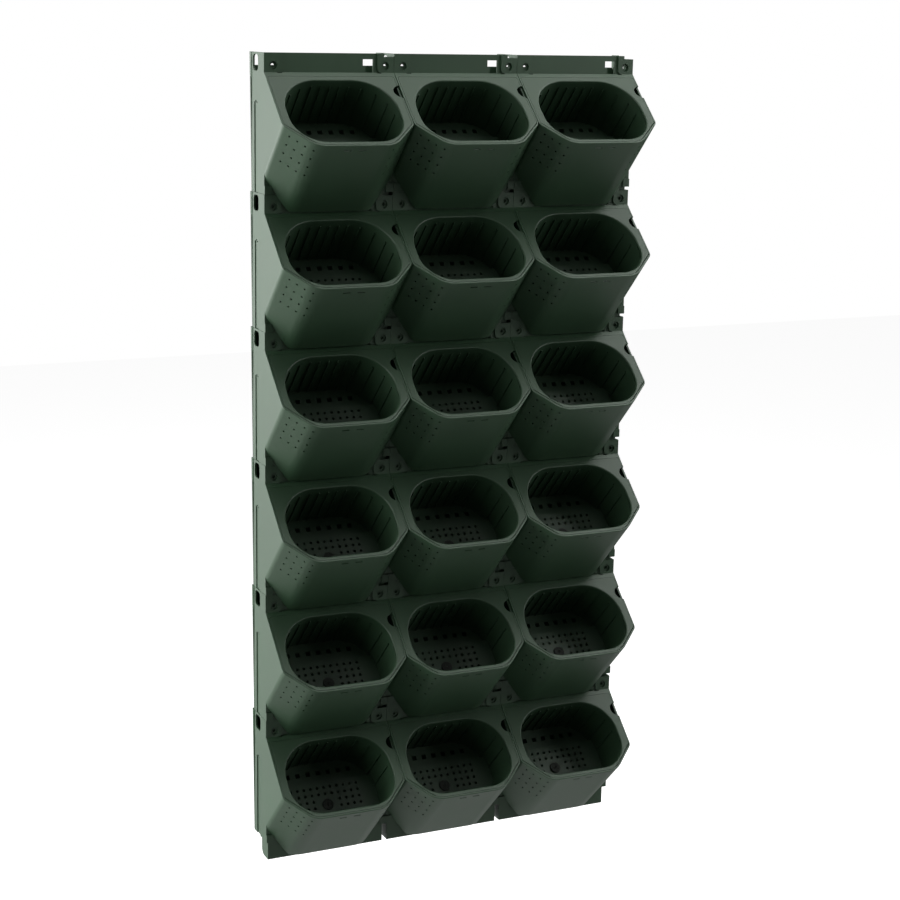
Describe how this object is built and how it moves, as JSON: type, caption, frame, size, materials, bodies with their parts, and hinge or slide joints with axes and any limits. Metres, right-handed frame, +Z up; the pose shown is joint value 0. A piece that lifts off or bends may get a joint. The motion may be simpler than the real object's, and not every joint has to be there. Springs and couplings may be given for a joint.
{
  "type": "self-watering wall planter",
  "caption": "Wall planter of clipped pocket modules with lift-out liners, felt wicks and a water reservoir behind each pocket.",
  "frame": {"origin": "midway between the two outer screw holes of the top row, on the seats of their heads", "axes": "+Z up along the wall, +Y from the pockets towards the wall, +X to the right seen from the front"},
  "size_m": [0.4956, 0.1409, 1.0156],
  "materials": {
    "shell": "satin moulded polypropylene, dark green",
    "liner": "satin moulded polypropylene, dark green, fine grain",
    "cover": "matt moulded polypropylene, darker green",
    "felt": "needled capillary felt, dark grey"
  },
  "bodies": {
    "root": {"pocket_shell_r1c1": "shell", "pocket_shell_r1c2": "shell", "pocket_shell_r1c3": "shell", "pocket_shell_r2c1": "shell", "pocket_shell_r2c2": "shell", "pocket_shell_r2c3": "shell", "pocket_shell_r3c1": "shell", "pocket_shell_r3c2": "shell", "pocket_shell_r3c3": "shell", "pocket_shell_r4c1": "shell", "pocket_shell_r4c2": "shell", "pocket_shell_r4c3": "shell", "pocket_shell_r5c1": "shell", "pocket_shell_r5c2": "shell", "pocket_shell_r5c3": "shell", "pocket_shell_r6c1": "shell", "pocket_shell_r6c2": "shell", "pocket_shell_r6c3": "shell", "back_cover_r1": "cover", "back_cover_r2": "cover", "back_cover_r3": "cover", "back_cover_r4": "cover", "back_cover_r5": "cover", "back_cover_r6": "cover"},
    "basket_r1c1": {"liner_r1c1": "liner", "wick_r1c1": "felt"},
    "basket_r1c2": {"liner_r1c2": "liner", "wick_r1c2": "felt"},
    "basket_r1c3": {"liner_r1c3": "liner", "wick_r1c3": "felt"},
    "basket_r2c1": {"liner_r2c1": "liner", "wick_r2c1": "felt"},
    "basket_r2c2": {"liner_r2c2": "liner", "wick_r2c2": "felt"},
    "basket_r2c3": {"liner_r2c3": "liner", "wick_r2c3": "felt"},
    "basket_r3c1": {"liner_r3c1": "liner", "wick_r3c1": "felt"},
    "basket_r3c2": {"liner_r3c2": "liner", "wick_r3c2": "felt"},
    "basket_r3c3": {"liner_r3c3": "liner", "wick_r3c3": "felt"},
    "basket_r4c1": {"liner_r4c1": "liner", "wick_r4c1": "felt"},
    "basket_r4c2": {"liner_r4c2": "liner", "wick_r4c2": "felt"},
    "basket_r4c3": {"liner_r4c3": "liner", "wick_r4c3": "felt"},
    "basket_r5c1": {"liner_r5c1": "liner", "wick_r5c1": "felt"},
    "basket_r5c2": {"liner_r5c2": "liner", "wick_r5c2": "felt"},
    "basket_r5c3": {"liner_r5c3": "liner", "wick_r5c3": "felt"},
    "basket_r6c1": {"liner_r6c1": "liner", "wick_r6c1": "felt"},
    "basket_r6c2": {"liner_r6c2": "liner", "wick_r6c2": "felt"},
    "basket_r6c3": {"liner_r6c3": "liner", "wick_r6c3": "felt"}
  },
  "joints": [
    {"name": "lift_r1c1", "type": "slide", "parent": "root", "child": "basket_r1c1", "axis": [0, -0.7071, 0.7071], "range_m": [0, 0.2]},
    {"name": "lift_r1c2", "type": "slide", "parent": "root", "child": "basket_r1c2", "axis": [0, -0.7071, 0.7071], "range_m": [0, 0.2]},
    {"name": "lift_r1c3", "type": "slide", "parent": "root", "child": "basket_r1c3", "axis": [0, -0.7071, 0.7071], "range_m": [0, 0.2]},
    {"name": "lift_r2c1", "type": "slide", "parent": "root", "child": "basket_r2c1", "axis": [0, -0.7071, 0.7071], "range_m": [0, 0.2]},
    {"name": "lift_r2c2", "type": "slide", "parent": "root", "child": "basket_r2c2", "axis": [0, -0.7071, 0.7071], "range_m": [0, 0.2]},
    {"name": "lift_r2c3", "type": "slide", "parent": "root", "child": "basket_r2c3", "axis": [0, -0.7071, 0.7071], "range_m": [0, 0.2]},
    {"name": "lift_r3c1", "type": "slide", "parent": "root", "child": "basket_r3c1", "axis": [0, -0.7071, 0.7071], "range_m": [0, 0.2]},
    {"name": "lift_r3c2", "type": "slide", "parent": "root", "child": "basket_r3c2", "axis": [0, -0.7071, 0.7071], "range_m": [0, 0.2]},
    {"name": "lift_r3c3", "type": "slide", "parent": "root", "child": "basket_r3c3", "axis": [0, -0.7071, 0.7071], "range_m": [0, 0.2]},
    {"name": "lift_r4c1", "type": "slide", "parent": "root", "child": "basket_r4c1", "axis": [0, -0.7071, 0.7071], "range_m": [0, 0.2]},
    {"name": "lift_r4c2", "type": "slide", "parent": "root", "child": "basket_r4c2", "axis": [0, -0.7071, 0.7071], "range_m": [0, 0.2]},
    {"name": "lift_r4c3", "type": "slide", "parent": "root", "child": "basket_r4c3", "axis": [0, -0.7071, 0.7071], "range_m": [0, 0.2]},
    {"name": "lift_r5c1", "type": "slide", "parent": "root", "child": "basket_r5c1", "axis": [0, -0.7071, 0.7071], "range_m": [0, 0.2]},
    {"name": "lift_r5c2", "type": "slide", "parent": "root", "child": "basket_r5c2", "axis": [0, -0.7071, 0.7071], "range_m": [0, 0.2]},
    {"name": "lift_r5c3", "type": "slide", "parent": "root", "child": "basket_r5c3", "axis": [0, -0.7071, 0.7071], "range_m": [0, 0.2]},
    {"name": "lift_r6c1", "type": "slide", "parent": "root", "child": "basket_r6c1", "axis": [0, -0.7071, 0.7071], "range_m": [0, 0.2]},
    {"name": "lift_r6c2", "type": "slide", "parent": "root", "child": "basket_r6c2", "axis": [0, -0.7071, 0.7071], "range_m": [0, 0.2]},
    {"name": "lift_r6c3", "type": "slide", "parent": "root", "child": "basket_r6c3", "axis": [0, -0.7071, 0.7071], "range_m": [0, 0.2]}
  ]
}
